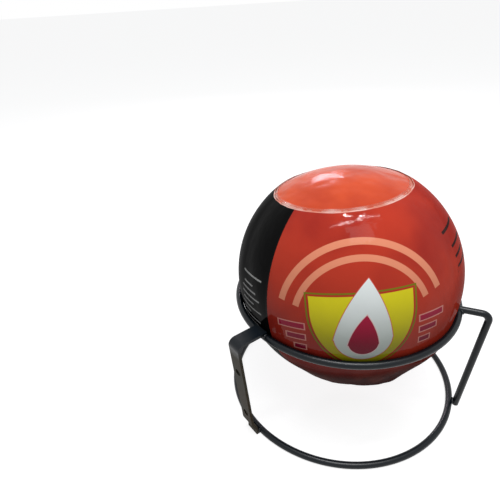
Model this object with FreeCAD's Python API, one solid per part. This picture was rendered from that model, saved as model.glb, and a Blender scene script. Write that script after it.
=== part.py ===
"""A fire extinguisher ball at rest in its welded wire bracket.

The ball is a two-part foam shell full of dry powder, with a burst charge at its centre and a fuse
that runs out to a groove under the shrink film. The film is printed and stays open at both poles.
The bracket is two rings of round wire, two wire struts and one flat strap with two screw holes.

All lengths are in millimetres. +Z is up, the origin is on the rings' axis at floor level, and the
flat strap stands on the -Y side.
"""
import FreeCAD, Part
import math
import os

# The ball and its shrink film.
ball_d = 150.0
film_t = 0.6
ink_t = 0.3
rim_r = 43.3
lip_in = 2.7
lip_up = 1.2
skirt_r = 44.2
skirt_drop = 64.6

# The foam shell, with flattened poles and a lapped seam at the equator.
shell_t = 5.0
pole_z = 71.0
cap_edge_r = 43.5
lap_h = 2.0
lap_t = 2.0
lap_gap = 0.15

# The burst charge, the fuse in its groove and the two leads that join them.
tube_d = 24.0
tube_t = 2.0
tube_len = 64.0
plug_t = 6.0
fuse_d = 2.0
lead_reach = 4.0

# The bracket's wire rings.
wire_d = 4.6
ring_r = 75.6
ring_z = 83.5
base_r = 82.8
seat_gap = 0.1

# The flat strap, from its tab on the upper ring to its foot on the lower ring. Its tab ends a
# little inside the ring's middle line, and its corner stands out from that line by the reach.
strap_w = 10.2
strap_t = 2.0
strap_tab_lap = 0.7
strap_reach = 20.9
strap_knee_r = 90.0
strap_knee_z = 13.0
strap_foot_z = 5.0
strap_end_z = 0.4
strap_bend = 3.5
hole_d = 5.0
hole_z = 42.5
hole_pitch = 40.0

# The two wire struts, turned from the strap to either side. Each one's corner stands out from the
# upper ring's middle line by the reach.
leg_turn_deg = 120.0
strut_reach = 18.3
strut_rise = 1.6
strut_bend = 4.6
strut_end_z = 0.6

# Weld beads: each one's centre is on the ring's surface, at an angle above the outward side.
bead_r = 2.3
bead_gap = 0.3
bead_root = 0.8
tab_bead_deg = 75.0
foot_bead_deg = 8.0
strut_top_bead_deg = 20.0

# How the ball happens to lie in its ring.
lean_deg = 6.2
lean_azimuth_deg = -160.0

# The print, by azimuth and latitude on the ball, and by millimetres in the emblem's own plane.
panel_edge_deg = -85.0
panel_span_deg = 78.0
emblem_azimuth_deg = -40.0
emblem_latitude_deg = 8.0
shield_w = 56.0
shield_top = 14.0
shield_shoulder = 4.0
shield_point = -34.0
flame_w = 32.0
flame_foot = -27.0
flame_tip = 23.0
core_scale = 0.52
core_foot = -23.0
arch_centre = -4.0
arch_inner = 35.5
arch_t = 3.4
arch_pitch = 8.0
arch_count = 2
arch_end_deg = 18.0
bar_t = 4.0
bar_pitch = 7.5
bar_top = -3.0
bar_inner = 31.5
bar_lengths = [15.0, 11.0, 7.0]

radius = ball_d / 2
wire_r = wire_d / 2
shell_r = radius - film_t
core_r = shell_r - shell_t
ball_z = ring_z + math.sqrt((radius + wire_r + seat_gap) ** 2 - ring_r**2)
far = 4 * ball_d

origin = FreeCAD.Vector(0, 0, 0)
up = FreeCAD.Vector(0, 0, 1)


def at(r, z):
    """A point of a profile that is turned about the Z axis."""
    return FreeCAD.Vector(r, 0, z)


def on_circle(centre_z, r, angle):
    """The profile point at an angle above the horizontal of a circle centred on the axis."""
    return at(r * math.cos(angle), centre_z + r * math.sin(angle))


def circle_arc(centre_z, r, start, end):
    """An arc of that circle, from one angle to another, in radians."""
    middle = on_circle(centre_z, r, (start + end) / 2)
    return Part.Arc(on_circle(centre_z, r, start), middle, on_circle(centre_z, r, end)).toShape()


def turned(edges, angle=360.0):
    """The solid that a closed profile makes when it is turned about the Z axis."""
    return Part.Face(Part.Wire(edges)).revolve(origin, up, angle)


def slab(low, high):
    """All space between two heights, as a wide box."""
    return Part.makeBox(2 * far, 2 * far, high - low, FreeCAD.Vector(-far, -far, low))


# The shell's form: a sphere whose poles are flatter caps, and layers of it further in.

cap_rise = pole_z - math.sqrt(shell_r**2 - cap_edge_r**2)
cap_r = (cap_edge_r**2 + cap_rise**2) / (2 * cap_rise)
cap_centre_z = pole_z - cap_r


def egg(depth):
    """The solid inside the surface that lies this deep under the shell's outside."""
    side_r = shell_r - depth
    top_r = cap_r - depth
    edge_z = (side_r**2 - top_r**2 + cap_centre_z**2) / (2 * cap_centre_z)
    side_angle = math.asin(edge_z / side_r)
    cap_angle = math.asin((edge_z - cap_centre_z) / top_r)
    right = math.pi / 2
    return turned(
        [
            circle_arc(-cap_centre_z, top_r, -right, -cap_angle),
            circle_arc(0, side_r, -side_angle, side_angle),
            circle_arc(cap_centre_z, top_r, cap_angle, right),
            Part.makeLine(at(0, cap_centre_z + top_r), at(0, -cap_centre_z - top_r)),
        ]
    )


def tube(outer_r, inner_r, low, high):
    outside = Part.makeCylinder(outer_r, high - low, at(0, low))
    return outside.cut(Part.makeCylinder(inner_r, high - low, at(0, low)))


# Burst charge and fuse.

tube_r = tube_d / 2
bore_r = tube_r - tube_t
fuse_r = fuse_d / 2
fuse_ring_r = shell_r - fuse_r
half_tube = tube_len / 2

fuse_ring = Part.makeTorus(fuse_ring_r, fuse_r)


def fuse_lead(side):
    """A straight lead from inside the burst charge out to the fuse ring, to +X or -X."""
    start = bore_r - lead_reach
    rod = Part.makeCylinder(fuse_r, fuse_ring_r - start, FreeCAD.Vector(side * start, 0, 0), at(side, 0))
    return rod.cut(fuse_ring)


fuse_lead_right = fuse_lead(1)
fuse_lead_left = fuse_lead(-1)
leads = fuse_lead_right.fuse(fuse_lead_left)

charge_tube = tube(tube_r, bore_r, -half_tube, half_tube).cut(leads)
charge_plug_upper = Part.makeCylinder(bore_r, plug_t, at(0, half_tube - plug_t))
charge_plug_lower = Part.makeCylinder(bore_r, plug_t, at(0, -half_tube))
burst_charge = Part.makeCylinder(bore_r, tube_len - 2 * plug_t, at(0, plug_t - half_tube)).cut(leads)

# Foam shell halves and the powder between them.

cavity = egg(shell_t)
shell = egg(0).cut([cavity, fuse_ring, leads])
tongue = shell.common(tube(core_r + lap_t, 0.5 * core_r, 0, lap_h))
rebate = tube(core_r + lap_t + lap_gap, 0.5 * core_r, -lap_gap, lap_h + lap_gap)
shell_lower = shell.common(slab(-far, 0)).fuse(tongue).removeSplitter()
shell_upper = shell.common(slab(0, far)).cut(rebate)
powder_fill = cavity.cut([Part.makeCylinder(tube_r, tube_len, at(0, -half_tube)), leads])

# Shrink film: it hugs the ball below its upper opening, whose clear lip lies inwards over the
# shell. Low down it leaves the ball on a tangent and runs straight to its lower edge.

top_angle = math.acos(rim_r / radius)
inner_top = math.acos(rim_r / shell_r)
leave_angle = math.atan2(skirt_drop, skirt_r) - math.acos(radius / math.hypot(skirt_drop, skirt_r))
leave_out = on_circle(0, 1, -leave_angle)
lip_end = at(rim_r - lip_in, radius * math.sin(top_angle) + lip_up)
lip_under = at(rim_r - lip_in, lip_end.z - film_t)
skirt_end = at(skirt_r, -skirt_drop)


def skirt_side(depth):
    """The straight run of the film from the ball to its lower edge, this deep under its outside."""
    return Part.makeLine(on_circle(0, radius - depth, -leave_angle), skirt_end - leave_out * depth)


film = turned(
    [
        circle_arc(0, radius, -leave_angle, top_angle),
        Part.makeLine(on_circle(0, radius, top_angle), lip_end),
        Part.makeLine(lip_end, lip_under),
        Part.makeLine(lip_under, on_circle(0, shell_r, inner_top)),
        circle_arc(0, shell_r, inner_top, -leave_angle),
        skirt_side(film_t),
        Part.makeLine(skirt_end - leave_out * film_t, skirt_end),
        skirt_side(0),
    ]
)

# Print: each colour is a field of the film's outer layer.

ink_r = radius - ink_t
ink_layer = Part.makeSphere(radius).cut(Part.makeSphere(ink_r))


def placed_on_ball(shape):
    """Moves a flat outline, drawn in X and Y about the origin, to the emblem's place on the ball."""
    shape.rotate(origin, FreeCAD.Vector(1, 0, 0), 90)
    shape.rotate(origin, FreeCAD.Vector(1, 0, 0), -emblem_latitude_deg)
    shape.rotate(origin, up, emblem_azimuth_deg + 90)
    return shape


def printed(flat):
    """The part of the film's outer layer that an outline covers, seen from straight ahead."""
    prism = flat.extrude(FreeCAD.Vector(0, 0, ball_d))
    return placed_on_ball(prism).common(ink_layer)


def flat(x, y):
    return FreeCAD.Vector(x, y, 0)


def shield_outline():
    """A plain shield: a flat top, short upright shoulders and two arcs that meet in a point."""
    half = shield_w / 2
    belly = flat(0.78 * half, shield_shoulder + 0.55 * (shield_point - shield_shoulder))
    edges = [
        Part.makeLine(flat(-half, shield_top), flat(half, shield_top)),
        Part.makeLine(flat(half, shield_top), flat(half, shield_shoulder)),
        Part.Arc(flat(half, shield_shoulder), belly, flat(0, shield_point)).toShape(),
        Part.Arc(flat(0, shield_point), flat(-belly.x, belly.y), flat(-half, shield_shoulder)).toShape(),
        Part.makeLine(flat(-half, shield_shoulder), flat(-half, shield_top)),
    ]
    return Part.Face(Part.Wire(edges))


def flame_outline(scale, foot):
    """A drop-like flame: a round foot and a tip that leans a little to one side."""
    half = scale * flame_w / 2
    tall = scale * (flame_tip - flame_foot)
    left = flat(-half, foot + half)
    right = flat(half, foot + half)
    tip = flat(0.3 * half, foot + tall)
    edges = [
        Part.Arc(left, flat(0, foot), right).toShape(),
        Part.Arc(right, flat(0.84 * half, foot + 0.6 * tall), tip).toShape(),
        Part.Arc(tip, flat(-0.56 * half, foot + 0.66 * tall), left).toShape(),
    ]
    return Part.Face(Part.Wire(edges))


def arch(step):
    """One of the round arches over the shield."""
    inner = arch_inner + step * arch_pitch
    outer = inner + arch_t
    ends = [math.radians(arch_end_deg), math.pi - math.radians(arch_end_deg)]
    middle = sum(ends) / 2

    def on_arch(r, angle):
        return flat(r * math.cos(angle), arch_centre + r * math.sin(angle))

    edges = [
        Part.Arc(on_arch(outer, ends[0]), on_arch(outer, middle), on_arch(outer, ends[1])).toShape(),
        Part.makeLine(on_arch(outer, ends[1]), on_arch(inner, ends[1])),
        Part.Arc(on_arch(inner, ends[1]), on_arch(inner, middle), on_arch(inner, ends[0])).toShape(),
        Part.makeLine(on_arch(inner, ends[0]), on_arch(outer, ends[0])),
    ]
    return Part.Face(Part.Wire(edges))


def bar(side, step):
    """One of the level bars that run out from the shield's side, each shorter than the last."""
    start = side * bar_inner
    end = side * (bar_inner + bar_lengths[step])
    top = bar_top - step * bar_pitch
    corners = [flat(start, top), flat(end, top), flat(end, top - bar_t), flat(start, top - bar_t)]
    return Part.Face(Part.makePolygon(corners + corners[:1]))


def panel_solid():
    """The black field: the film's outer layer over a span of azimuths, from rim to lower edge."""
    outline = [
        circle_arc(0, radius, -leave_angle, top_angle),
        Part.makeLine(on_circle(0, radius, top_angle), on_circle(0, ink_r, top_angle)),
        circle_arc(0, ink_r, top_angle, -leave_angle),
        skirt_side(ink_t),
        Part.makeLine(skirt_end - leave_out * ink_t, skirt_end),
        skirt_side(0),
    ]
    span = turned(outline, panel_span_deg)
    span.rotate(origin, up, panel_edge_deg - panel_span_deg)
    return span


def fields(flats):
    """The printed fields of several outlines that share one colour."""
    return Part.makeCompound([printed(one) for one in flats])


shield_flat = shield_outline()
flame_flat = flame_outline(1.0, flame_foot)
core_flat = flame_outline(core_scale, core_foot)
bar_steps = range(len(bar_lengths))

print_panel = panel_solid()
print_flame_core = printed(core_flat)
print_flame = printed(flame_flat.cut(core_flat))
print_shield = printed(shield_flat.cut(flame_flat))
print_arches = fields([arch(step) for step in range(arch_count)])
print_bars = fields([bar(side, step) for side in (-1, 1) for step in bar_steps])
prints = [print_panel, print_flame_core, print_flame, print_shield, print_arches, print_bars]
film_sleeve = film.cut(prints)

# Bracket rings.

tab_z = ring_z + wire_r + strap_t / 2
foot_r = base_r + wire_r + strap_t / 2
strap_corner_r = ring_r + strap_reach
strut_corner_r = ring_r + strut_reach

ring_upper = Part.makeTorus(ring_r, wire_r, at(0, ring_z))
ring_lower = Part.makeTorus(base_r, wire_r, at(0, wire_r))


def bent_line(points, bends):
    """Edges along points in a profile's plane, with a tangent arc of the given radius at each bend."""
    edges = []
    start = points[0]
    for before, corner, after, bend in zip(points, points[1:], points[2:], bends):
        into = (corner - before).normalize()
        out = (after - corner).normalize()
        half_turn = into.getAngle(out) / 2
        reach = bend * math.tan(half_turn)
        first = corner - into * reach
        last = corner + out * reach
        inward = (out - into).normalize()
        middle = corner + inward * bend * (1 / math.cos(half_turn) - 1)
        edges.append(Part.makeLine(start, first))
        edges.append(Part.Arc(first, middle, last).toShape())
        start = last
    edges.append(Part.makeLine(start, points[-1]))
    return edges


def strap_side(points, bends, offset):
    """One face of the bent strap: its middle line moved sideways, each bend's radius with it."""
    shifted = []
    radii = []
    normals = []
    for a, b in zip(points, points[1:]):
        along = (b - a).normalize()
        normals.append(FreeCAD.Vector(-along.z, 0, along.x))
    shifted.append(points[0] + normals[0] * offset)
    for i, bend in enumerate(bends):
        both = normals[i] + normals[i + 1]
        share = offset / (1 + normals[i].dot(normals[i + 1]))
        turns_left = normals[i].dot(points[i + 2] - points[i + 1]) > 0
        shifted.append(points[i + 1] + both * share)
        radii.append(bend - offset if turns_left else bend + offset)
    shifted.append(points[-1] + normals[-1] * offset)
    return bent_line(shifted, radii)


def swung(shape, turn):
    """A piece drawn in the +X half of the XZ plane, swung about Z to its leg of the bracket."""
    shape = shape.copy()
    shape.rotate(origin, up, -90 + turn)
    return shape


# Wall strap.

strap_line = [
    at(ring_r - strap_tab_lap, tab_z),
    at(strap_corner_r, tab_z),
    at(strap_knee_r, strap_knee_z),
    at(foot_r, strap_foot_z),
    at(foot_r, strap_end_z),
]
strap_bends = [strap_bend, 2 * strap_bend, strap_bend]
outer_side = strap_side(strap_line, strap_bends, strap_t / 2)
inner_side = strap_side(strap_line, strap_bends, -strap_t / 2)
first_end = Part.makeLine(outer_side[0].firstVertex().Point, inner_side[0].firstVertex().Point)
last_end = Part.makeLine(outer_side[-1].lastVertex().Point, inner_side[-1].lastVertex().Point)
strap_edges = outer_side + [last_end] + inner_side + [first_end]
strap_face = Part.Face(Part.Wire(Part.__sortEdges__(strap_edges)))
strap_face.translate(FreeCAD.Vector(0, -strap_w / 2, 0))
strap_bar = strap_face.extrude(FreeCAD.Vector(0, strap_w, 0))

strap_run = (strap_line[2] - strap_line[1]).normalize()
strap_out = FreeCAD.Vector(-strap_run.z, 0, strap_run.x)


def hole_at(z):
    share = (strap_corner_r - strap_knee_r) / (tab_z - strap_knee_z)
    centre = at(strap_knee_r + (z - strap_knee_z) * share, z)
    return Part.makeCylinder(hole_d / 2, 4 * strap_t, centre - strap_out * (2 * strap_t), strap_out)


holes = [hole_at(hole_z + side * hole_pitch / 2) for side in (-1, 1)]

# Wire struts.

strut_z = ring_z + strut_rise
strut_touch = at(base_r + wire_d, wire_r)
strut_corner = at(strut_corner_r, strut_z)
strut_slope = (strut_touch.x - strut_corner_r) / (strut_touch.z - strut_z)
strut_end = at(strut_touch.x + (strut_end_z - wire_r) * strut_slope, strut_end_z)
strut_line = bent_line([at(ring_r, strut_z), strut_corner, strut_end], [strut_bend])
strut_section = Part.Wire(Part.makeCircle(wire_r, at(ring_r, strut_z), FreeCAD.Vector(1, 0, 0)))
strut_bar = Part.Wire(strut_line).makePipeShell([strut_section], True, True)
strut_solid = strut_bar.cut([ring_upper, ring_lower])


# Weld beads, two at each end of each leg, drawn as drops that fill the corner beside it.

ball_space = Part.makeSphere(radius + bead_gap, at(0, ball_z))


def beads(centre_r, centre_z, angle_deg, half_width, root, leg, ring):
    """The two drops beside a leg where it meets a ring, clear of the leg, the ring and the ball.

    Each drop starts at the root, a distance to the side of the leg's middle plane.
    """
    angle = math.radians(angle_deg)
    r = centre_r + wire_r * math.cos(angle)
    z = centre_z + wire_r * math.sin(angle)
    between = Part.makeBox(far, 2 * root, 2 * far, FreeCAD.Vector(0, -root, -far))
    drops = [Part.makeSphere(bead_r, FreeCAD.Vector(r, side * half_width, z)) for side in (-1, 1)]
    return [drop.cut([between, leg, ring, ball_space]) for drop in drops]


edge = strap_w / 2
strap_beads_upper = beads(ring_r, ring_z, tab_bead_deg, edge, edge, strap_bar, ring_upper)
strap_beads_lower = beads(base_r, wire_r, foot_bead_deg, edge, edge, strap_bar, ring_lower)
strut_beads_upper = beads(ring_r, ring_z, strut_top_bead_deg, wire_r, bead_root, strut_solid, ring_upper)
strut_beads_lower = beads(base_r, wire_r, foot_bead_deg, wire_r, bead_root, strut_solid, ring_lower)

wall_strap = swung(strap_bar.cut(holes), 0)
strut_right = swung(strut_solid, leg_turn_deg)
strut_left = swung(strut_solid, -leg_turn_deg)


def around_bracket(strap_shapes, strut_shapes):
    """One compound of what sits at the strap and, twice, of what sits at a strut."""
    shapes = [swung(one, 0) for one in strap_shapes]
    for turn in (leg_turn_deg, -leg_turn_deg):
        shapes += [swung(one, turn) for one in strut_shapes]
    return Part.makeCompound([solid for shape in shapes for solid in shape.Solids])


weld_beads_upper = around_bracket(strap_beads_upper, strut_beads_upper)
weld_beads_lower = around_bracket(strap_beads_lower, strut_beads_lower)

# The ball leans as it was set down in the ring.

lean_axis = FreeCAD.Rotation(up, lean_azimuth_deg).multVec(FreeCAD.Vector(0, 1, 0))


def seated(shape):
    """Leans a piece of the ball and lifts it onto the upper ring."""
    shape = shape.copy()
    shape.rotate(origin, lean_axis, lean_deg)
    shape.translate(at(0, ball_z))
    return shape


ball = {
    "film_sleeve": film_sleeve,
    "print_panel": print_panel,
    "print_shield": print_shield,
    "print_flame": print_flame,
    "print_flame_core": print_flame_core,
    "print_arches": print_arches,
    "print_bars": print_bars,
    "shell_upper": shell_upper,
    "shell_lower": shell_lower,
    "powder_fill": powder_fill,
    "charge_tube": charge_tube,
    "charge_plug_upper": charge_plug_upper,
    "charge_plug_lower": charge_plug_lower,
    "burst_charge": burst_charge,
    "fuse_ring": fuse_ring,
    "fuse_lead_right": fuse_lead_right,
    "fuse_lead_left": fuse_lead_left,
}
bracket = {
    "ring_upper": ring_upper,
    "ring_lower": ring_lower,
    "wall_strap": wall_strap,
    "strut_right": strut_right,
    "strut_left": strut_left,
    "weld_beads_upper": weld_beads_upper,
    "weld_beads_lower": weld_beads_lower,
}

os.makedirs("parts", exist_ok=True)
model = {name: seated(shape) for name, shape in ball.items()} | bracket
for name, shape in model.items():
    shape.exportStep(f"parts/{name}.step")
    print(name, len(shape.Solids), round(shape.Volume, 1), shape.isValid())
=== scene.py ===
# %% [markdown]
# # A fire extinguisher ball in its wire stand
# The object is a foam ball full of dry powder, wrapped in a printed shrink film, that rests in a
# stand of black painted wire. The CAD model comes first as a fixed frame. Each cell after it gives
# one piece its finish, or builds a finer skin over a plain solid.

# %% Load the frame
import math

import bpy
import numpy as np
from mathutils import Matrix, Vector


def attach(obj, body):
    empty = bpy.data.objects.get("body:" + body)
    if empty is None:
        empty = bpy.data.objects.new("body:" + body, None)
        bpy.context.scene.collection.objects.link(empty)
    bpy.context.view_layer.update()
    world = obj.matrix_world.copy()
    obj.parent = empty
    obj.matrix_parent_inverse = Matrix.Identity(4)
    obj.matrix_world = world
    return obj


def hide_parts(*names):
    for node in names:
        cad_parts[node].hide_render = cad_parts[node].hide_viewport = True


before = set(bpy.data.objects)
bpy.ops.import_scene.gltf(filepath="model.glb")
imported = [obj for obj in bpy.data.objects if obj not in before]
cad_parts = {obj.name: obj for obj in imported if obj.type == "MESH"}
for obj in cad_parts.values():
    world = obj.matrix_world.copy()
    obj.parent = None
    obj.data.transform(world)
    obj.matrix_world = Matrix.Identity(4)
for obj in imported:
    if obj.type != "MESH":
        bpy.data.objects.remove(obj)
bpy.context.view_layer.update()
print("nodes:", len(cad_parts))

# %% [markdown]
# ## Sizes
# A finer skin has to lie exactly where its solid is, so the sizes that shape it are written here
# again, in metres. The ball's own frame has its centre at the origin and the opening on top. One
# matrix leans that frame and lifts it onto the stand's upper ring, where the ball only rests.

# %% Sizes of the ball
MM = 0.001
BALL_R = 75 * MM
FILM_T = 0.6 * MM
RIM_R = 43.3 * MM
LIP_IN = 2.7 * MM
LIP_UP = 1.2 * MM
SKIRT_R = 44.2 * MM
SKIRT_DROP = 64.6 * MM
SHELL_R = 74.4 * MM
POLE_Z = 71 * MM
CAP_EDGE_R = 43.5 * MM
print("ball across:", round(2 * BALL_R / MM), "mm")

# %% Sizes of the stand, and the ball's place on it
WIRE_R = 2.3 * MM
RING_R = 75.6 * MM
RING_Z = 83.5 * MM
BASE_R = 82.8 * MM
STRAP_SIDE = 5.2 * MM
STRUT_RISE = 1.6 * MM
SEAT_GAP = 0.1 * MM
LEAN = math.radians(6.2)
LEAN_AZIMUTH = math.radians(-160)

BALL_Z = RING_Z + math.sqrt((BALL_R + WIRE_R + SEAT_GAP) ** 2 - RING_R**2)
LEAN_AXIS = Vector((-math.sin(LEAN_AZIMUTH), math.cos(LEAN_AZIMUTH), 0))
BALL_PLACE = Matrix.Translation((0, 0, BALL_Z)) @ Matrix.Rotation(LEAN, 4, LEAN_AXIS)
print("ball centre height:", round(BALL_Z / MM, 1), "mm")

# %% [markdown]
# ## Sums on sockets
# Much of this object's look is flat print on a round skin, and print has exact edges. They could
# be painted in a picture, but sums on coordinates stay sharp from any distance. So a small class
# lets a socket be added, scaled and compared like a number. Every sum becomes a Math node, and
# `node` makes any other node. Materials and Geometry Nodes use the same class.


# %% A socket that can be used in sums
class Socket:
    """A socket of a node tree, on which sums add Math nodes."""

    def __init__(self, tree, socket=None):
        self.tree = tree
        self.socket = socket

    def node(self, kind, settings=(), sockets=(), output=0):
        """A new node: first its settings, then a number, colour or link for each socket."""
        made = self.tree.nodes.new(kind)
        for name, setting in dict(settings).items():
            setattr(made, name, setting)
        for name, value in dict(sockets).items():
            if isinstance(value, Socket):
                self.tree.links.new(value.socket, made.inputs[name])
            else:
                made.inputs[name].default_value = value
        return Socket(self.tree, made.outputs[output] if made.outputs else None)

    def math(self, operation, *values, clamp=False):
        settings = {"operation": operation, "use_clamp": clamp}
        return self.node("ShaderNodeMath", settings, enumerate(values))

    def __add__(self, other):
        return self.math("ADD", self, other)

    def __sub__(self, other):
        return self.math("SUBTRACT", self, other)

    def __rsub__(self, other):
        return self.math("SUBTRACT", other, self)

    def __mul__(self, other):
        return self.math("MULTIPLY", self, other)

    def __truediv__(self, other):
        return self.math("DIVIDE", self, other)

    def __and__(self, other):
        """Inside both forms: the smaller depth."""
        return self.math("MINIMUM", self, other)

    def __or__(self, other):
        """Inside either form: the larger depth."""
        return self.math("MAXIMUM", self, other)

    def __neg__(self):
        return self.math("MULTIPLY", self, -1.0)

    def __abs__(self):
        return self.math("ABSOLUTE", self)

    __radd__ = __add__
    __rmul__ = __mul__

    def split(self):
        """The three numbers of a vector."""
        parts = self.tree.nodes.new("ShaderNodeSeparateXYZ")
        self.tree.links.new(self.socket, parts.inputs[0])
        return [Socket(self.tree, output) for output in parts.outputs]

    def mask(self, soft=0.12):
        """1 inside a form and 0 outside it, over an edge this soft to either side."""
        return self.math("ADD", self / (2 * soft), 0.5, clamp=True)

    def ease(self, low, high):
        """0 below low, 1 above high, and a smooth rise between."""
        sockets = {"Value": self, "From Min": low, "From Max": high}
        return self.node("ShaderNodeMapRange", {"interpolation_type": "SMOOTHSTEP"}, sockets)

    def blend(self, under, over):
        """A colour: under where this mask is 0, over where it is 1."""
        # In a Mix node, sockets 6 and 7 and output 2 are the ones for colours.
        sockets = {0: self, 6: under, 7: over}
        return self.node("ShaderNodeMix", {"data_type": "RGBA"}, sockets, 2)

    def noise(self, scale, detail, stretch=None):
        """A cloudy value from 0 to 1 over this vector."""
        vector = self
        if stretch:
            vector = self.node("ShaderNodeMapping", (), {"Vector": self, "Scale": stretch})
        sockets = {"Vector": vector, "Scale": scale, "Detail": detail}
        return self.node("ShaderNodeTexNoise", (), sockets)

    def cells(self, scale):
        """How far this vector is from the nearest of many scattered points."""
        return self.node("ShaderNodeTexVoronoi", (), {"Vector": self, "Scale": scale})

    def bump(self, strength, depth):
        """A normal that this height tilts, where a height of 1 is this many millimetres."""
        sockets = {"Height": self, "Strength": strength, "Distance": depth * MM}
        return self.node("ShaderNodeBump", (), sockets)


# %% Colours, materials and shaders
def paint(red, green, blue):
    """A colour named by its values on a screen, 0 to 255, as the numbers that a shader takes."""
    shares = [value / 255 for value in (red, green, blue)]
    linear = [((s + 0.055) / 1.055) ** 2.4 if s > 0.04045 else s / 12.92 for s in shares]
    return (*linear, 1.0)


def material(name):
    """A new material with an empty tree, and its Object coordinates."""
    made = bpy.data.materials.new(name)
    made.use_nodes = True
    made.node_tree.nodes.clear()
    return made, Socket(made.node_tree).node("ShaderNodeTexCoord", output="Object")


def principled(start, **sockets):
    """A Principled shader, with each socket named as Blender does, but _ for a space."""
    names = {name.replace("_", " "): value for name, value in sockets.items()}
    return start.node("ShaderNodeBsdfPrincipled", (), names)


def mixed(share, first, second):
    """Two shaders in one, of which the second has this share."""
    return share.node("ShaderNodeMixShader", (), {0: share, 1: first, 2: second})


def surface(shader, kind="Material"):
    """Ends the tree of a material, or of the world, in this shader."""
    shader.node("ShaderNodeOutput" + kind, (), {"Surface": shader})


print("mid grey in a shader:", round(paint(128, 128, 128)[0], 3))

# %% [markdown]
# ## Stage and camera
# The object stands on a plain white floor in a pale room. More light could make both white, but it
# would wash out the object too. So they look white to the camera through Light Path, and the floor
# still takes the object's shadow. The camera's place was found by fitting the sizes above to edges
# in the photograph.

# %% Floor
FLOOR_REACH = 30.0
FLOOR_GREY = 0.34
FLOOR_GLOW = 0.86
WHITE = (1, 1, 1, 1)


def placed(name, data):
    """A new object in the scene that shows this data."""
    made = bpy.data.objects.new(name, data)
    bpy.context.collection.objects.link(made)
    return made


def seen(start):
    """1 for rays that show the background: from the camera, off gloss and through glass."""
    outputs = start.tree.nodes.new("ShaderNodeLightPath").outputs
    names = ("Is Camera Ray", "Is Glossy Ray", "Is Transmission Ray")
    from_camera, off_gloss, through_glass = [Socket(start.tree, outputs[name]) for name in names]
    return from_camera | off_gloss | through_glass


corners = [(x * FLOOR_REACH, y * FLOOR_REACH, 0) for x, y in ((-1, -1), (1, -1), (1, 1), (-1, 1))]
floor_mesh = bpy.data.meshes.new("floor")
floor_mesh.from_pydata(corners, [], [(0, 1, 2, 3)])
floor = placed("floor", floor_mesh)

floor_paint, floor_at = material("floor_white")
lit = floor_at.node("ShaderNodeBsdfDiffuse", (), {"Color": (FLOOR_GREY, FLOOR_GREY, FLOOR_GREY, 1)})
strength = seen(floor_at) * FLOOR_GLOW
glow = floor_at.node("ShaderNodeEmission", (), {"Color": WHITE, "Strength": strength})
surface(floor_at.node("ShaderNodeAddShader", (), {0: lit, 1: glow}))
floor_mesh.materials.append(floor_paint)
print("floor across:", 2 * FLOOR_REACH, "m")

# %% World
ROOM_COLOUR = (0.93, 0.96, 1, 1)
ROOM_LIGHT = 0.22

world = bpy.data.worlds.new("pale_room")
world.use_nodes = True
world.node_tree.nodes.clear()
room = Socket(world.node_tree)
ambient = room.node("ShaderNodeBackground", (), {"Color": ROOM_COLOUR, "Strength": ROOM_LIGHT})
white = room.node("ShaderNodeBackground", (), {"Color": WHITE, "Strength": 1.0})
surface(mixed(seen(room), ambient, white), "World")
bpy.context.scene.world = world
bpy.context.scene.view_settings.view_transform = "Standard"
print("room light:", ROOM_LIGHT)

# %% Camera at the photograph's viewing angle
CAMERA_AT = Vector((0.17036, -0.19923, 0.26673))
CAMERA_RIGHT = Vector((0.59441, 0.80262, -0.04974))
CAMERA_UP = Vector((-0.37697, 0.33275, 0.86439))
CAMERA_LENS = 31.14
SENSOR_WIDTH = 36
CLIP_START = 0.01

camera_data = bpy.data.cameras.new("photo_view")
camera_data.lens = CAMERA_LENS
camera_data.sensor_width = SENSOR_WIDTH
camera_data.clip_start = CLIP_START
camera = placed("photo_view", camera_data)
turn = Matrix((CAMERA_RIGHT, CAMERA_UP, CAMERA_RIGHT.cross(CAMERA_UP))).transposed()
camera.matrix_world = Matrix.Translation(CAMERA_AT) @ turn.to_4x4()
bpy.context.scene.camera = camera
print("camera is", round((CAMERA_AT - BALL_PLACE.translation).length, 3), "m from the ball")

# %% [markdown]
# ## Lamps
# A soft panel and the pale room give an even light. Two small lamps, a long tube and a window give
# the sharp reflections that tell a glossy film from a matt one. They could be moved about by eye,
# but a lamp's reflection in a round surface obeys the mirror law. So each is placed by the point
# of the ball at which the camera has to see it.

# %% Where a lamp has to be
LAMP_AWAY = 0.9
WINDOW_AWAY = 1.1


def on_ball(azimuth, latitude):
    """A point on the ball, by degrees around its own axis and above its own equator."""
    a, b = math.radians(azimuth), math.radians(latitude)
    local = Vector((math.cos(b) * math.cos(a), math.cos(b) * math.sin(a), math.sin(b)))
    return BALL_PLACE @ (local * BALL_R)


def mirrored(point, centre, distance):
    """Where a lamp has to be for the camera to see it reflected at a point of a round surface."""
    normal = (point - centre).normalized()
    view = (CAMERA_AT - point).normalized()
    return point + (2 * normal.dot(view) * normal - view) * distance


def over_film(azimuth, latitude):
    """Where a lamp has to be for the camera to see it at this point of the film."""
    return mirrored(on_ball(azimuth, latitude), BALL_PLACE.translation, LAMP_AWAY)


# The window shows in the foam, which is flatter at the top: a cap of a larger ball.
cap_rise = POLE_Z - math.sqrt(SHELL_R**2 - CAP_EDGE_R**2)
cap_radius = (CAP_EDGE_R**2 + cap_rise**2) / (2 * cap_rise)
cap_centre = BALL_PLACE @ Vector((0, 0, POLE_Z - cap_radius))
window_spot = BALL_PLACE @ Vector((-2.6 * MM, -11.4 * MM, 70.3 * MM))
window_at = mirrored(window_spot, cap_centre, WINDOW_AWAY)
print("foam cap's radius:", round(cap_radius / MM, 1), "mm")

# %% Lamps
middle = Vector((0, 0, BALL_Z))
PANEL_COLOUR = (0.96, 0.98, 1)
WINDOW_COLOUR = (1, 0.84, 0.97)
TUBE_WIDTH = 0.011


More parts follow.
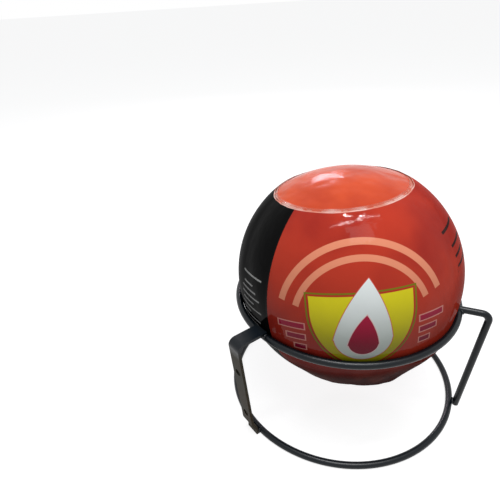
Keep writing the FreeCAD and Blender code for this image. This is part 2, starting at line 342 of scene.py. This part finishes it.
def lamp(name, at, size, watts, colour=(1, 1, 1)):
    """A flat lamp of this width and height, turned to the ball."""
    data = bpy.data.lights.new(name, "AREA")
    data.shape = "RECTANGLE"
    data.size, data.size_y = size
    data.energy = watts
    data.color = colour
    made = placed(name, data)
    made.location = at
    made.rotation_mode = "QUATERNION"
    made.rotation_quaternion = (middle - Vector(at)).to_track_quat("-Z", "Y")
    return made


lamp("overhead_panel", (0.51, -0.23, 1.27), (0.55, 0.4), 3.4, PANEL_COLOUR)
lamp("ceiling_lamp_near", over_film(-42.4, 54), (0.08, 0.034), 2.1)
lamp("ceiling_lamp_far", over_film(-33.6, 53.1), (0.065, 0.045), 2.3)
lamp("window", window_at, (0.26, 0.08), 1.9, WINDOW_COLOUR)

# The tube is placed by the reflections of its two ends, and its long side lies between them.
tube_start, tube_end = over_film(-54.2, 47.6), over_film(-22.6, 50.2)
tube_size = ((tube_end - tube_start).length, TUBE_WIDTH)
tube = lamp("ceiling_tube", (tube_start + tube_end) / 2, tube_size, 3.0)
across = (tube_end - tube_start).normalized()
down = (middle - tube.location).normalized()
down = (down - across * down.dot(across)).normalized()
tube.rotation_quaternion = Matrix((across, across.cross(down), -down)).transposed().to_quaternion()

# %% [markdown]
# ## The printed film
# The real skin is a printed sleeve of clear plastic that was shrunk onto the ball by heat. It is
# open at both poles. There its edge is loose: a clear lip turns in over the foam on top, and a
# short skirt hangs down below. A shrunk film puckers beside such an edge. A cut sphere with a
# Solidify modifier could give the skin, but not its lip and its straight skirt. So the skin is a
# profile turned about the ball's axis, and Geometry Nodes push its puckers in and out.


# %% The film's profile
def arc_points(radius, start, end, count):
    """Points of an arc about the ball's centre, from one angle to another."""
    angles = np.linspace(start, end, count)
    return np.column_stack([radius * np.cos(angles), radius * np.sin(angles)])


def film_profile():
    """Points of the film's closed outline, as radius and height."""
    inner = BALL_R - FILM_T
    top, inner_top = math.acos(RIM_R / BALL_R), math.acos(RIM_R / inner)
    rim = (RIM_R, BALL_R * math.sin(top))
    lip = (RIM_R - LIP_IN, rim[1] + LIP_UP)
    inner_rim = (RIM_R, inner * math.sin(inner_top))
    edge_far = math.hypot(SKIRT_R, SKIRT_DROP)
    leave = math.atan2(SKIRT_DROP, SKIRT_R) - math.acos(BALL_R / edge_far)
    outward = np.array([math.cos(leave), -math.sin(leave)])
    edge = np.array([SKIRT_R, -SKIRT_DROP])
    # Each run ends in its number of points, which is high where the film shows.
    runs = [
        np.linspace(lip, rim, 9),
        arc_points(BALL_R, top, -leave, 92),
        np.linspace(outward * BALL_R, edge, 26),
        np.linspace(edge, edge - outward * FILM_T, 3),
        np.linspace(edge - outward * FILM_T, outward * inner, 16),
        arc_points(inner, -leave, inner_top, 18),
        np.linspace(inner_rim, (lip[0], lip[1] - FILM_T), 7),
    ]
    return np.vstack([runs[0]] + [run[1:] for run in runs[1:]])


outline = film_profile()
print("film's outline:", len(outline), "points")


# %% The profile turned about the ball's axis
COLUMNS = 480


def turned_mesh(name, outline, columns, extra):
    """A closed skin: the outline turned about Z, with some values of each outline point stored."""
    angles = np.arange(columns) * 2 * math.pi / columns
    rows = len(outline)
    points = np.empty((columns, rows, 3))
    points[..., 0] = np.outer(np.cos(angles), outline[:, 0])
    points[..., 1] = np.outer(np.sin(angles), outline[:, 0])
    points[..., 2] = outline[:, 1]
    c, r = np.meshgrid(np.arange(columns) * rows, np.arange(rows), indexing="ij")
    c_next, r_next = (c + rows) % (columns * rows), (r + 1) % rows
    faces = np.stack([c + r, c + r_next, c_next + r_next, c_next + r], -1)
    mesh = bpy.data.meshes.new(name)
    mesh.from_pydata(points.reshape(-1, 3).tolist(), [], faces.reshape(-1, 4).tolist())
    for key, values in extra.items():
        layer = mesh.attributes.new(key, "FLOAT", "POINT")
        layer.data.foreach_set("value", np.tile(values, columns).astype(np.float32))
    mesh.shade_smooth()
    return placed(name, mesh)


def climb(values, start, full):
    """0 up to start, 1 from full on, and a straight climb between."""
    return np.clip((values - start) / (full - start), 0, 1)


# How loose the film is, by degrees above and below the ball's equator.
latitudes = np.degrees(np.arctan2(outline[:, 1], outline[:, 0]))
below_ring = climb(-latitudes, 14, 30)
loose = {
    "loose_top": climb(latitudes, 46, 55) ** 2,
    "loose_low": climb(-latitudes, 24, 55),
    "loose_side": below_ring**2 * (3 - 2 * below_ring),
}
film_skin = turned_mesh("film_skin", outline, COLUMNS, loose)
print("film:", len(outline), "rows by", COLUMNS, "columns")


# %% Helpers for Geometry Nodes
def node_tree(name, inputs):
    """A Geometry Nodes tree with these inputs, by kind and value, and its sockets by name."""
    tree = bpy.data.node_groups.new(name, "GeometryNodeTree")
    for key, (kind, value) in inputs.items():
        made = tree.interface.new_socket(key, in_out="INPUT", socket_type="NodeSocket" + kind)
        if value is not None:
            made.default_value = value
    tree.interface.new_socket("Piece", in_out="OUTPUT", socket_type="NodeSocketGeometry")
    outputs = tree.nodes.new("NodeGroupInput").outputs
    return tree, {socket.name: Socket(tree, socket) for socket in outputs}


def end_tree(shape, look):
    """Ends a tree in Realize Instances and Set Material."""
    whole = shape.node("GeometryNodeRealizeInstances", (), {"Geometry": shape})
    coated = whole.node("GeometryNodeSetMaterial", (), {"Geometry": whole, "Material": look})
    coated.node("NodeGroupOutput", (), {0: coated})


def by_nodes(carrier, tree, settings, name):
    """Runs a tree on an object and returns its result as a plain mesh piece."""
    modifier = carrier.modifiers.new(tree.name, "NODES")
    modifier.node_group = tree
    inputs = [item for item in tree.interface.items_tree if item.in_out == "INPUT"]
    identifiers = {item.name: item.identifier for item in inputs}
    for key, value in settings.items():
        modifier[identifiers[key]] = value
    ready = carrier.evaluated_get(bpy.context.evaluated_depsgraph_get())
    mesh = bpy.data.meshes.new_from_object(ready)
    mesh.name = name
    # A carrier that had no material leaves an empty slot before the tree's own.
    for index in reversed(range(len(mesh.materials))):
        if mesh.materials[index] is None:
            mesh.materials.pop(index=index)
    carrier.modifiers.clear()
    bpy.data.objects.remove(carrier)
    return placed(name, mesh)


# %% The film's puckers
def pucker_tree(look):
    """Moves a skin in and out by folds that run towards its open edges."""
    sizes = {
        "Lip fold depth": 0.5 * MM,
        "Skirt fold depth": 1.0 * MM,
        "Folds around": 5.0,
        "Corner azimuth": -13.0,
        "Corner width near": 19.0,
        "Corner width far": 34.0,
        "Corner reach": 3.0 * MM,
        "Side azimuth": 8.0,
        "Side width": 26.0,
        "Side reach": 3.0 * MM,
        "Seed": 4.0,
    }
    inputs = {"Skin": ("Geometry", None), "Material": ("Material", look)}
    inputs.update({name: ("Float", value) for name, value in sizes.items()})
    tree, given = node_tree("film_puckers", inputs)
    start = Socket(tree)

    def stored(name):
        return start.node("GeometryNodeInputNamedAttribute", {"data_type": "FLOAT"}, {"Name": name})

    place = start.node("GeometryNodeInputPosition")
    way = start.node("ShaderNodeVectorMath", {"operation": "NORMALIZE"}, {0: place})
    # Noise that is squeezed in height draws its folds out along the ball's axis.
    squeeze = {0: way, 1: (1, 1, 0.22)}
    squeezed = start.node("ShaderNodeVectorMath", {"operation": "MULTIPLY"}, squeeze)

    def folds(scale, detail):
        """How far a fold goes in or out, as a share of its depth."""
        sockets = {"Vector": squeezed, "W": given["Seed"], "Scale": scale, "Detail": detail}
        noise = start.node("ShaderNodeTexNoise", {"noise_dimensions": "4D"}, sockets)
        return (noise - 0.5) * 2.0

    x, y, _ = place.split()
    azimuth = start.math("ARCTAN2", y, x) * (180 / math.pi)
    low = stored("loose_low")

    # The skirt's corner: a peak with two straight sides, whose tip is rounded off.
    peak, rounding = 0.86, 0.3
    off = azimuth - given["Corner azimuth"]
    slope = off / given["Corner width near"] | -(off / given["Corner width far"])
    corner = start.math("SMOOTH_MIN", 1.0 - slope | 0.0, peak, rounding)

    # The slack side: a flat swelling beside the corner.
    turned = (azimuth - given["Side azimuth"]) / given["Side width"]
    fall = 1.0 - turned * turned | 0.0

    lip = stored("loose_top") * given["Lip fold depth"] * folds(given["Folds around"] * 1.6, 2.0)
    skirt = low * low * given["Skirt fold depth"] * folds(given["Folds around"], 3.0)
    tuck = low * low * given["Corner reach"] * corner
    side = stored("loose_side") * given["Side reach"] * fall * fall
    sockets = {0: way, "Scale": lip + skirt + tuck + side}
    push = start.node("ShaderNodeVectorMath", {"operation": "SCALE"}, sockets)
    moved = start.node("GeometryNodeSetPosition", (), {"Geometry": given["Skin"], "Offset": push})
    end_tree(moved, given["Material"])
    return tree


film_look, film_at = material("printed_shrink_film")
fold_settings = {"Folds around": 5.0, "Seed": 4.0}
film = by_nodes(film_skin, pucker_tree(film_look), fold_settings, "printed_film")
film.data.transform(BALL_PLACE)
film.data.update()
print("film triangles:", sum(len(p.vertices) - 2 for p in film.data.polygons))

# %% [markdown]
# ## The print
# Flat inks lie under the film's gloss: a red ground, one black panel from rim to rim, and an
# emblem of a shield, a flame and two arches. A picture on a UV map could carry them, but sums need
# no picture and no seam. The emblem is drawn in millimetres on a plane that faces it. Each form is
# the depth inside its edge, so `&` joins limits and `|` joins forms.

# %% Coordinates in millimetres
EMBLEM_AZIMUTH = math.radians(-40)
EMBLEM_LATITUDE = math.radians(8)
QUARTER = math.pi / 2


def in_frame(start, place):
    """Object coordinates seen from another frame, in millimetres."""
    shift, spin, _ = place.decompose()
    sockets = {"Vector": start, "Location": shift, "Rotation": spin.to_euler()}
    sockets["Scale"] = (MM, MM, MM)
    return start.node("ShaderNodeMapping", {"vector_type": "TEXTURE"}, sockets)


def in_mm(start):
    """Object coordinates in millimetres."""
    return start.node("ShaderNodeMapping", (), {"Vector": start, "Scale": (1000, 1000, 1000)})


emblem_round = Matrix.Rotation(EMBLEM_AZIMUTH + QUARTER, 4, "Z")
emblem_tilt = Matrix.Rotation(QUARTER - EMBLEM_LATITUDE, 4, "X")
EMBLEM_PLACE = BALL_PLACE @ (emblem_round @ emblem_tilt)

ball_mm = in_frame(film_at, BALL_PLACE)
bx, by, bz = ball_mm.split()
azimuth = bx.math("ARCTAN2", by, bx) * (180 / math.pi)
ex, ey, ez = in_frame(film_at, EMBLEM_PLACE).split()
front = ez.ease(20, 22)
print("emblem faces:", [round(part, 2) for part in EMBLEM_PLACE.col[2][:3]])


# %% Forms that the emblem is made of
def circle_through(a, b, c):
    """Centre and radius of the circle through three points."""
    (ax, ay), (bx, by), (cx, cy) = a, b, c
    d = 2 * (ax * (by - cy) + bx * (cy - ay) + cx * (ay - by))
    a2, b2, c2 = ax * ax + ay * ay, bx * bx + by * by, cx * cx + cy * cy
    x = (a2 * (by - cy) + b2 * (cy - ay) + c2 * (ay - by)) / d
    y = (a2 * (cx - bx) + b2 * (ax - cx) + c2 * (bx - ax)) / d
    return (x, y), math.hypot(ax - x, ay - y)


def disc(x, y, centre, radius):
    """Depth inside a circle."""
    dx, dy = x - centre[0], y - centre[1]
    return radius - x.math("SQRT", dx * dx + dy * dy)


def edge_line(form, half):
    """A thin line along a form's edge, this wide to either side."""
    return half - abs(form)


def flame_form(x, y, scale, foot):
    """A drop with a round foot and a tip that leans a little."""
    half, tall, lap = scale * 16.0, scale * 50.0, 1.5
    left, right, tip = (-half, foot + half), (half, foot + half), (0.3 * half, foot + tall)
    outer = circle_through(right, (0.84 * half, foot + 0.6 * tall), tip)
    inner = circle_through(tip, (-0.56 * half, foot + 0.66 * tall), left)
    blade = disc(x, y, *outer) & disc(x, y, *inner) & (y - (foot + half - lap))
    return blade | (disc(x, y, (0, foot + half), half) & ((foot + half) - y))


def shield_form(x, y):
    """A flat top, short upright shoulders and two arcs that meet in a point."""
    half, top, shoulder, point = 28.0, 14.0, 4.0, -34.0
    belly = (0.78 * half, shoulder + 0.55 * (point - shoulder))
    side = abs(x)
    arcs = disc(side, y, *circle_through((half, shoulder), belly, (0, point)))
    return (top - y) & (half - side) & (arcs | (y - shoulder))


def arch_form(x, y, step):
    """One of the round arches over the shield."""
    first, pitch, thick, drop, end = 35.5, 8.0, 3.4, 4.0, math.radians(18)
    inner, over = first + pitch * step, y + drop
    ring = disc(x, over, (0, 0), inner + thick) & -disc(x, over, (0, 0), inner)
    return ring & (over * math.cos(end) - abs(x) * math.sin(end))


def bar_form(x, y, step):
    """One of the level bars beside the shield, each shorter than the last."""
    start, length, thick = 31.5, (15.0, 11.0, 7.0)[step], 4.0
    side, top = abs(x), -3.0 - 7.5 * step
    return (side - start) & ((start + length) - side) & (top - y) & (y - (top - thick))


shield = shield_form(ex, ey)
flame = flame_form(ex, ey, 1.0, -27.0)
core = flame_form(ex, ey, 0.52, -23.0)
arches = arch_form(ex, ey, 0) | arch_form(ex, ey, 1)
bars = bar_form(ex, ey, 0) | bar_form(ex, ey, 1) | bar_form(ex, ey, 2)
print("nodes for the forms:", len(film_look.node_tree.nodes))

# %% The red ground, with painted shade below the ring
cloud = ball_mm.noise(0.018, 3.0)
ground = cloud.ease(0.35, 0.65).blend(paint(156, 40, 31), paint(186, 56, 37))
# Below the ring the red is painted darker as painted shade, with vertical streaks of lighter and
# darker painted shade.
shade_streaks = ball_mm.noise(0.07, 2.0, stretch=(1, 1, 0.6)).ease(0.42, 0.7)
painted_shade = shade_streaks.blend(paint(80, 28, 23), paint(110, 48, 38))
ground = bz.ease(-46, -20).blend(painted_shade, ground)
print("nodes with the ground:", len(film_look.node_tree.nodes))

# %% The black panel, and the rows of dashes
PANEL_START, PANEL_END = -163.0, -85.0
# Each row: where it starts and how far it runs, in degrees around the ball, and its height in mm.
PANEL_ROWS = (
    (-108, 18, 23),
    (-106, 9, 17),
    (-108, 14, 13),
    (-108, 17, 9),
    (-107, 11, 5),
    (-108, 18, 1),
    (-108, 8, -3),
    (-107, 15, -7),
    (-107, 12, -11),
)
SIDE_ROWS = ((13, 22, 40), (16, 18, 31), (16, 13, 25), (16, 20, 19))
ROW_INKS = ((PANEL_ROWS, 1.1, paint(170, 170, 168)), (SIDE_ROWS, 1.6, paint(52, 24, 22)))


def row_form(start, length, height, thick):
    """One level dash on the ball, whose degrees count as 1.2 mm each."""
    run = (azimuth - start) & (start + length - azimuth)
    return (run * 1.2) & (thick / 2 - abs(bz - height))


# At the equator a degree is 1.3 mm.
panel = ((PANEL_END - azimuth) & (azimuth - PANEL_START)) * 1.3
colour = panel.mask(0.15).blend(ground, paint(9, 9, 9))
for rows, thick, ink in ROW_INKS:
    for start, length, height in rows:
        colour = row_form(start, length, height, thick).mask().blend(colour, ink)
print("dashes:", len(PANEL_ROWS), "on the panel and", len(SIDE_ROWS), "at the side")

# %% The emblem's inks, from the lowest to the uppermost
yellow = ey.ease(-32, 12).blend(paint(168, 160, 20), paint(226, 214, 34))
white_ink = ey.ease(-26, 14).blend(paint(205, 214, 205), paint(236, 242, 240))
crimson = ey.ease(-23, 4).blend(paint(138, 14, 46), paint(178, 26, 64))
layers = [
    (arches, paint(228, 142, 110)),
    (bars, crimson),
    (edge_line(bars, 0.35), paint(226, 150, 138)),
    (shield, yellow),
    (edge_line(shield + 1.6, 0.45), paint(120, 124, 22)),
    (edge_line(flame, 0.4), paint(214, 84, 72)),
    (flame, white_ink),
    (core + 0.5, paint(238, 210, 206)),
    (core, crimson),
]
for form, ink in layers:
    colour = (form.mask() * front).blend(colour, ink)
print("inks of the emblem:", len(layers))

# %% [markdown]
# ## The film's lip and gloss
# The print ends at the rim, 61 mm over the ball's centre, and the lip inside it is clear. The film
# is glossy where it lies tight. On the black panel, below the ring and wherever it turns away from
# the eye, a full gloss would mirror so much of the white room that the ink fades. So two shaders
# are mixed: a glossy one, and a matt one for those places.

# %% The clear lip
lip_zone = bz.ease(61.0, 61.2)
lip_inside = bz.ease(61.35, 61.5)
# The lip's pale pink is the clear film's own look over the foam. Its brighter, more solid spots are
# painted glints: reflected light painted into the colour.
painted_glints = ball_mm.noise(0.05, 2.0).ease(0.4, 0.65)
colour = lip_zone.blend(colour, painted_glints.blend(paint(218, 142, 124), paint(244, 212, 204)))
see_through = 1 - lip_zone * 0.1 - lip_inside * (0.72 - painted_glints * 0.3)
print("nodes with the lip:", len(film_look.node_tree.nodes))

# %% Relief of the film
ripple = ball_mm.noise(0.07, 3.0, stretch=(1, 1, 0.5))
fine = ball_mm.noise(0.6, 2.0)
gathers = ball_mm.noise(0.22, 1.0, stretch=(1, 1, 0.12)) * bz.ease(44, 60)
lip_waves = lip_zone * ball_mm.noise(0.2, 2.0)
dents = (ripple * 1.6 + fine * 0.04 + gathers * 0.5 + lip_waves * 1.2).bump(0.4, 0.8)
creases = ball_mm.noise(0.11, 2.0, stretch=(1, 1, 0.35)).bump(0.8, 2.5)
print("nodes with the relief:", len(film_look.node_tree.nodes))

# %% Glossy and matt film
glossy = principled(
    film_at,
    Base_Color=colour,
    Roughness=cloud * 0.05 + 0.04,
    IOR=1.18,
    Alpha=see_through,
    Normal=dents,
)
matt = principled(
    film_at,
    Base_Color=colour,
    Roughness=0.6,
    Specular_IOR_Level=0.0,
    Alpha=see_through,
    Normal=creases,
)
facing = film_at.node("ShaderNodeLayerWeight", (), {"Blend": 0.5}, "Facing")
turned_away = facing.ease(0.3, 0.7)
under_ring = 1 - bz.ease(-36, -20)
mattness = panel.mask(2.0) * 0.6 | under_ring * 0.95 | turned_away * 0.88
surface(mixed(mattness, glossy, matt))

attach(film, "root")
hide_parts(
    "film_sleeve",
    "print_panel",
    "print_shield",
    "print_flame",
    "print_flame_core",
    "print_arches",
    "print_bars",
)
print("film's material:", len(film_look.node_tree.nodes), "nodes")

# %% [markdown]
# ## The foam shell
# The shell is moulded foam with a thin glossy coat, orange-red like the print. It shows through
# the film's two openings. The solid's own round shape is enough there, so it gets only a material:
# a cloudy colour, and a soft relief that breaks up the reflections.

# %% Foam coat
foam_look, foam_at = material("coated_foam")
foam_mm = in_frame(foam_at, BALL_PLACE)
tone = foam_mm.noise(0.03, 3.0)
swells = foam_mm.noise(0.08, 1.0)
pores = foam_mm.noise(0.9, 3.0)
foam_shader = principled(
    foam_at,
    Base_Color=tone.ease(0.3, 0.7).blend(paint(182, 64, 40), paint(206, 82, 48)),
    Roughness=tone * 0.2 + 0.1,
    IOR=1.17,
    Normal=(swells * 2.4 + pores * 0.01).bump(0.6, 1.0),
)
surface(foam_shader)
print("foam coat:", len(foam_look.node_tree.nodes), "nodes")

# %% [markdown]
# ## The stand
# Round wire and a flat strap are bent and welded, then dipped in black paint that dries glossy and
# a little uneven. The solids have their final shape, so one material does for all of them. The
# strap's outer face is painted a lighter olive-brown and made matt. It is found by its place,
# because that needs no second material.

# %% Black paint
paint_look, paint_at = material("black_dipped_paint")
paint_mm = in_mm(paint_at)
px, py, pz = paint_mm.split()
on_strap = (5.6 - abs(px)).mask(0.3)
outside_rings = (-86.0 - py).mask(0.5)
below_bend = (80.0 - pz).mask(4.0)
strap_face = on_strap * outside_rings * below_bend

runs = paint_mm.noise(0.09, 3.0)
orange_peel = paint_mm.noise(0.5, 2.0)
# The blue in this black is a painted reflection of cool light. The runs make the black a little
# uneven.
black = (runs.ease(0.3, 0.8) * 0.5).blend(paint(6, 14, 21), paint(20, 22, 23))
# The strap's outer face is painted a lighter olive-brown, and its shader below is matt.
olive_face = paint_mm.noise(0.05, 2.0).ease(0.35, 0.7).blend(paint(60, 58, 48), paint(62, 51, 37))
tint = strap_face.blend(black, olive_face)
uneven = (runs * 0.8 + orange_peel * 0.01).bump(0.3, 0.5)
bright = principled(
    paint_at, Base_Color=tint, Roughness=runs * 0.12 + 0.26, IOR=1.34, Normal=uneven
)
matt_face = principled(
    paint_at, Base_Color=tint, Roughness=0.6, Specular_IOR_Level=0.05, Normal=uneven
)
surface(mixed(strap_face * 0.85, bright, matt_face))
print("black paint:", len(paint_look.node_tree.nodes), "nodes")

# %% [markdown]
# ## Weld runs
# A weld is laid down as a row of small drops that freeze over one another. A smooth bead with a
# bump could stand for it, but its steps would be missing from the shape. So each run starts as a
# line in the corner beside a leg, and Geometry Nodes put real drops along it.

# %% Lines that the weld runs follow
LINE_POINTS = 9
LIFT = 0.1 * MM
TOUCH_R = 1.7 * MM
STRAP_AT, RIGHT_STRUT_AT, LEFT_STRUT_AT = -90, 30, -210


def line_angles(start, end):
    """The angles of a line's points, from degrees."""
    return np.radians(np.linspace(start, end, LINE_POINTS))


def around_ring(centre_r, centre_z, side, start, end):
    """A line over a ring's surface, at a distance to the side of the leg."""
    reach = WIRE_R + LIFT
    angles = line_angles(start, end)
    return [(centre_r + reach * math.cos(a), side, centre_z + reach * math.sin(a)) for a in angles]


def around_strut(side, start, end):
    """The line in which the strut's wire meets the upper ring, on one side."""
    line = []
    for a in line_angles(start, end):
        up = STRUT_RISE + WIRE_R * math.sin(a)
        out = math.sqrt(max(WIRE_R**2 - up**2, 0))
        line.append((RING_R + out, side * WIRE_R * math.cos(a), RING_Z + up))
    return line


def round_touch(side, start, end):
    """A line round the point in which a strut's wire touches the lower ring, on one side."""
    x, angles = BASE_R + WIRE_R, line_angles(start, end)
    return [(x, side * TOUCH_R * math.cos(a), WIRE_R + TOUCH_R * math.sin(a)) for a in angles]


def weld_lines(strap_line, strut_line):
    """The lines on both sides of the strap and of the two struts, as one mesh of edges."""
    points, edges = [], []
    legs = ((STRAP_AT, strap_line), (RIGHT_STRUT_AT, strut_line), (LEFT_STRUT_AT, strut_line))
    for degrees, line in legs:
        spin = Matrix.Rotation(math.radians(degrees), 3, "Z")
        for side in (-1, 1):
            run = [spin @ Vector(point) for point in line(side)]
            first = len(points)
            points += run
            edges += [(first + i, first + i + 1) for i in range(len(run) - 1)]
    mesh = bpy.data.meshes.new("weld_lines")
    mesh.from_pydata(points, edges, [])
    return placed("weld_lines", mesh)


upper_lines = weld_lines(
    lambda side: around_ring(RING_R, RING_Z, side * STRAP_SIDE, 96, 40),
    lambda side: around_strut(side, -75, 15),
)
lower_lines = weld_lines(
    lambda side: around_ring(BASE_R, WIRE_R, side * STRAP_SIDE, -12, 50),
    lambda side: round_touch(side, -20, 75),
)
print("weld lines:", len(upper_lines.data.vertices), "points on each ring")


# %% Drops along the lines
def weld_tree(look):
    """Puts overlapping drops along each line, smaller at its ends."""
    inputs = {
        "Lines": ("Geometry", None),
        "Material": ("Material", look),
        "Drops in a run": ("Int", 9),
        "Drop radius": ("Float", 1.0 * MM),
        "Drop flatness": ("Float", 0.8),
        "Seed": ("Int", 7),
    }
    tree, given = node_tree("weld_drops", inputs)
    start = Socket(tree)
    curves = start.node("GeometryNodeMeshToCurve", (), {"Mesh": given["Lines"]})
    sockets = {"Curve": curves, "Count": given["Drops in a run"]}
    points = start.node("GeometryNodeResampleCurve", (), sockets)
    sockets = {"Radius": given["Drop radius"], "Subdivisions": 3}
    ball = start.node("GeometryNodeMeshIcoSphere", (), sockets)
    drop = start.node("GeometryNodeSetShadeSmooth", (), {0: ball})

    # In a Random Value node, sockets 2 and 3 are the least and the most, and output 1 a number.
    sockets = {2: 0.9, 3: 1.06, "Seed": given["Seed"]}
    chance = start.node("FunctionNodeRandomValue", {"data_type": "FLOAT"}, sockets, 1)
    along = start.node("GeometryNodeSplineParameter")
    size = chance * (start.math("SINE", along * math.pi) * 0.3 + 0.72)
    sockets = {0: size, 1: size, 2: size * given["Drop flatness"]}
    scale = start.node("ShaderNodeCombineXYZ", (), sockets)
    tangent = start.node("GeometryNodeInputTangent")
    turned = start.node("FunctionNodeAlignRotationToVector", {"axis": "Z"}, {"Vector": tangent})
    sockets = {"Points": points, "Instance": drop, "Rotation": turned, "Scale": scale}
    end_tree(start.node("GeometryNodeInstanceOnPoints", (), sockets), given["Material"])
    return tree


WELDS = {
    "weld_runs_upper": (upper_lines, "weld_beads_upper"),
    "weld_runs_lower": (lower_lines, "weld_beads_lower"),
}
drops = weld_tree(paint_look)
for name, (lines, solid) in WELDS.items():
    welds = by_nodes(lines, drops, {"Drops in a run": 9, "Drop flatness": 0.8}, name)
    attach(welds, "root")
    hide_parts(solid)
    print(name, "triangles:", len(welds.data.polygons))

# %% [markdown]
# ## What the ball holds
# None of this shows, but each solid keeps a finish of its own, so that the model can be cut open.
# All five are dry and matt, with a grain that gives both the colour and the relief. So one
# function makes them, from a pattern and two colours.


# %% Powder, card, clay, black powder and fuse
def filling(name, pattern, low, high, roughness, strength, depth):
    """A matt material with one colour where its pattern is low and another where it is high."""
    made, place = material(name)
    grain = pattern(in_mm(place))
    shader = principled(
        place,
        Base_Color=grain.blend(paint(*low), paint(*high)),
        Roughness=roughness,
        Normal=grain.bump(strength, depth),
    )
    surface(shader)
    return made


powder_look = filling(
    "dry_powder",
    lambda mm: mm.noise(2.0, 3.0),
    low=(232, 226, 200),
    high=(250, 247, 232),
    roughness=0.95,
    strength=0.5,
    depth=0.4,
)
card_look = filling(
    "rolled_card",
    lambda mm: mm.noise(0.5, 4.0, stretch=(1, 1, 0.15)),
    low=(150, 116, 78),
    high=(192, 158, 112),
    roughness=0.85,
    strength=0.4,
    depth=0.3,
)
clay_look = filling(
    "pressed_clay",
    lambda mm: mm.noise(1.4, 4.0),
    low=(176, 168, 152),
    high=(206, 199, 184),
    roughness=0.9,
    strength=0.4,
    depth=0.3,
)
charge_look = filling(
    "grained_black_powder",
    lambda mm: mm.cells(1.2),
    low=(52, 52, 52),
    high=(20, 20, 20),
    roughness=0.6,
    strength=0.8,
    depth=0.5,
)
fuse_look = filling(
    "cotton_fuse",
    lambda mm: mm.cells(2.5),
    low=(96, 128, 92),
    high=(52, 82, 50),
    roughness=0.8,
    strength=0.7,
    depth=0.3,
)
print("materials:", len(bpy.data.materials))

# %% Give each solid its finish
FINISHES = {
    foam_look: ["shell_upper", "shell_lower"],
    paint_look: ["ring_upper", "ring_lower", "wall_strap", "strut_right", "strut_left"],
    powder_look: ["powder_fill"],
    card_look: ["charge_tube"],
    clay_look: ["charge_plug_upper", "charge_plug_lower"],
    charge_look: ["burst_charge"],
    fuse_look: ["fuse_ring", "fuse_lead_right", "fuse_lead_left"],
}
for look, names in FINISHES.items():
    for name in names:
        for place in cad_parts[name].material_slots:
            place.material = look
print("solids with a finish:", sum(len(names) for names in FINISHES.values()))
